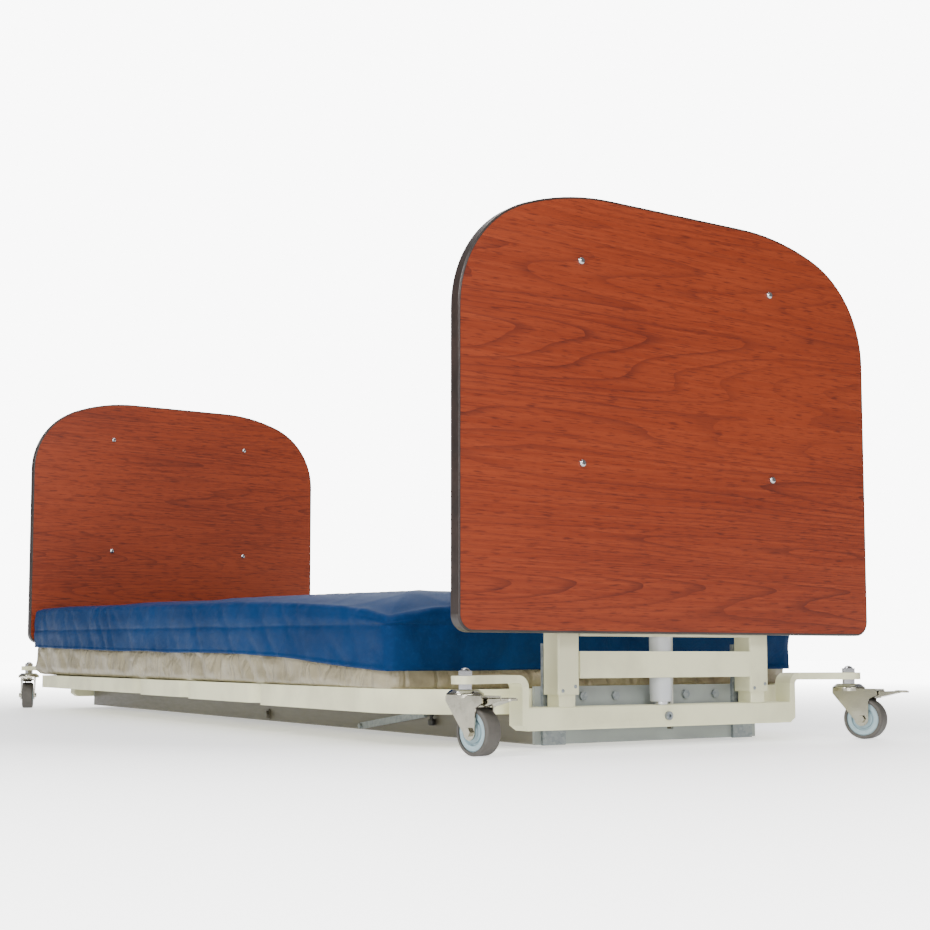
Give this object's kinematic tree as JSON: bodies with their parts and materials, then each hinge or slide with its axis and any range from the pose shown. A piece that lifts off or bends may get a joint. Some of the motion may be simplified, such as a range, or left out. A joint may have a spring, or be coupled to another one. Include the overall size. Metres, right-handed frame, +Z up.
{
  "type": "adjustable hospital bed",
  "caption": "Low-height adjustable hospital bed with cherry end boards, telescoping end towers, jointed deck sections, covered foam mattress and total-lock casters.",
  "frame": {"origin": "on the floor under the middle of the bed", "axes": "+X across the bed to the patient's left when lying face up, +Y from foot to head, +Z up"},
  "size_m": [0.9494, 2.653, 0.925],
  "materials": {
    "cream_paint": "satin powder coat",
    "grey_frame": "satin grey paint",
    "galvanised": "zinc plated sheet",
    "cherry_laminate": "satin cherry wood-grain laminate",
    "board_edge_brown": "glossy dark brown edge moulding",
    "chrome_hardware": "polished",
    "zinc_caster": "bright zinc",
    "column_grey": "light grey anodised",
    "tyre_grey": "dark grey rubber",
    "wheel_plastic": "light blue-grey plastic",
    "black_plastic": "black moulded plastic",
    "white_plastic": "white moulded plastic",
    "mattress_cover": "blue coated cover over a taupe lower cover"
  },
  "bodies": {
    "foot_base": {"foot_base_frame": "cream_paint", "foot_inner_posts": "cream_paint", "foot_lift_rod": "chrome_hardware", "foot_lift_pin": "galvanised", "foot_caster_stems": "chrome_hardware"},
    "head_base": {"head_base_frame": "cream_paint", "head_inner_posts": "cream_paint", "head_lift_rod": "chrome_hardware", "head_lift_pin": "galvanised", "head_caster_stems": "chrome_hardware"},
    "deck_frame": {"foot_sleeves": "cream_paint", "head_sleeves": "cream_paint", "sleeve_glides": "white_plastic", "foot_crossplates": "cream_paint", "head_crossplates": "cream_paint", "foot_lift_tube": "column_grey", "head_lift_tube": "column_grey", "foot_board_panel": "cherry_laminate", "foot_board_edge": "board_edge_brown", "head_board_panel": "cherry_laminate", "head_board_edge": "board_edge_brown", "board_bolts": "chrome_hardware", "hanger_plates": "galvanised", "frame_rails": "grey_frame", "frame_cross_members": "grey_frame", "seat_section_frame": "cream_paint", "seat_deck_panel": "cream_paint", "mattress_seat": "mattress_cover", "hinge_pins": "galvanised", "control_box": "black_plastic", "back_actuator_body": "black_plastic", "knee_actuator_body": "black_plastic", "actuator_cables": "white_plastic"},
    "back_section": {"back_section_frame": "cream_paint", "back_deck_panel": "cream_paint", "mattress_back": "mattress_cover"},
    "thigh_section": {"thigh_section_frame": "cream_paint", "thigh_deck_panel": "cream_paint", "mattress_thigh": "mattress_cover"},
    "calf_section": {"calf_section_frame": "cream_paint", "calf_deck_panel": "cream_paint", "mattress_calf": "mattress_cover"},
    "back_push_rod": {"back_actuator_rod": "chrome_hardware"},
    "knee_push_rod": {"knee_actuator_rod": "chrome_hardware"},
    "foot_left_swivel": {"foot_left_fork": "zinc_caster"},
    "foot_left_roller": {"foot_left_tyre": "tyre_grey", "foot_left_wheel": "wheel_plastic"},
    "foot_left_lock": {"foot_left_pedal": "zinc_caster"},
    "foot_right_swivel": {"foot_right_fork": "zinc_caster"},
    "foot_right_roller": {"foot_right_tyre": "tyre_grey", "foot_right_wheel": "wheel_plastic"},
    "foot_right_lock": {"foot_right_pedal": "zinc_caster"},
    "head_left_swivel": {"head_left_fork": "zinc_caster"},
    "head_left_roller": {"head_left_tyre": "tyre_grey", "head_left_wheel": "wheel_plastic"},
    "head_left_lock": {"head_left_pedal": "zinc_caster"},
    "head_right_swivel": {"head_right_fork": "zinc_caster"},
    "head_right_roller": {"head_right_tyre": "tyre_grey", "head_right_wheel": "wheel_plastic"},
    "head_right_lock": {"head_right_pedal": "zinc_caster"}
  },
  "joints": [
    {"name": "lift", "type": "slide", "parent": "foot_base", "child": "deck_frame", "axis": [0, 0, 1], "range_m": [0, 0.53]},
    {"name": "head_lift", "type": "slide", "parent": "deck_frame", "child": "head_base", "axis": [0, 0, -1], "range_m": [0, 0.53]},
    {"name": "back_raise", "type": "hinge", "parent": "deck_frame", "child": "back_section", "pos_m": [0, 0.177, 0.088], "axis": [1, 0, 0], "range_deg": [0, 60]},
    {"name": "thigh_raise", "type": "hinge", "parent": "deck_frame", "child": "thigh_section", "pos_m": [0, -0.124, 0.088], "axis": [-1, 0, 0], "range_deg": [0, 30]},
    {"name": "calf_fold", "type": "hinge", "parent": "thigh_section", "child": "calf_section", "pos_m": [0, -0.502, 0.062], "axis": [1, 0, 0], "range_deg": [0, 45.7]},
    {"name": "back_push", "type": "slide", "parent": "deck_frame", "child": "back_push_rod", "axis": [0, 1, 0], "range_m": [0, 0.0588]},
    {"name": "knee_push", "type": "slide", "parent": "deck_frame", "child": "knee_push_rod", "axis": [0, -1, 0], "range_m": [0, 0.028]},
    {"name": "foot_left_swivel", "type": "hinge", "parent": "foot_base", "child": "foot_left_swivel", "pos_m": [-0.429, -1.212, 0.097], "axis": [0, 0, 1], "continuous": true},
    {"name": "foot_left_roll", "type": "hinge", "parent": "foot_left_swivel", "child": "foot_left_roller", "pos_m": [-0.42455, -1.24369, 0.0375], "axis": [-0.9903, -0.1392, 0], "continuous": true},
    {"name": "foot_left_lock", "type": "hinge", "parent": "foot_left_swivel", "child": "foot_left_lock", "pos_m": [-0.42176, -1.26349, 0.084], "axis": [0.9903, 0.1392, 0], "range_deg": [0, 12]},
    {"name": "foot_right_swivel", "type": "hinge", "parent": "foot_base", "child": "foot_right_swivel", "pos_m": [0.429, -1.212, 0.097], "axis": [0, 0, 1], "continuous": true},
    {"name": "foot_right_roll", "type": "hinge", "parent": "foot_right_swivel", "child": "foot_right_roller", "pos_m": [0.43942, -1.24226, 0.0375], "axis": [-0.9455, -0.3256, 0], "continuous": true},
    {"name": "foot_right_lock", "type": "hinge", "parent": "foot_right_swivel", "child": "foot_right_lock", "pos_m": [0.44593, -1.26117, 0.084], "axis": [0.9455, 0.3256, 0], "range_deg": [0, 12]},
    {"name": "head_left_swivel", "type": "hinge", "parent": "head_base", "child": "head_left_swivel", "pos_m": [-0.429, 1.212, 0.097], "axis": [0, 0, 1], "continuous": true},
    {"name": "head_left_roll", "type": "hinge", "parent": "head_left_swivel", "child": "head_left_roller", "pos_m": [-0.43942, 1.18174, 0.0375], "axis": [-0.9455, 0.3256, 0], "continuous": true},
    {"name": "head_left_lock", "type": "hinge", "parent": "head_left_swivel", "child": "head_left_lock", "pos_m": [-0.44593, 1.16283, 0.084], "axis": [0.9455, -0.3256, 0], "range_deg": [0, 12]},
    {"name": "head_right_swivel", "type": "hinge", "parent": "head_base", "child": "head_right_swivel", "pos_m": [0.429, 1.212, 0.097], "axis": [0, 0, 1], "continuous": true},
    {"name": "head_right_roll", "type": "hinge", "parent": "head_right_swivel", "child": "head_right_roller", "pos_m": [0.43345, 1.24369, 0.0375], "axis": [0.9903, -0.1392, 0], "continuous": true},
    {"name": "head_right_lock", "type": "hinge", "parent": "head_right_swivel", "child": "head_right_lock", "pos_m": [0.43624, 1.26349, 0.084], "axis": [-0.9903, 0.1392, 0], "range_deg": [0, 12]}
  ],
  "couplings": [
    {"joint": "head_lift", "follows": "lift", "ratio": 1},
    {"joint": "calf_fold", "follows": "thigh_raise", "ratio": 1.52},
    {"joint": "back_push", "follows": "back_raise", "m_per_rad": 0.056},
    {"joint": "knee_push", "follows": "thigh_raise", "m_per_rad": 0.0532}
  ]
}
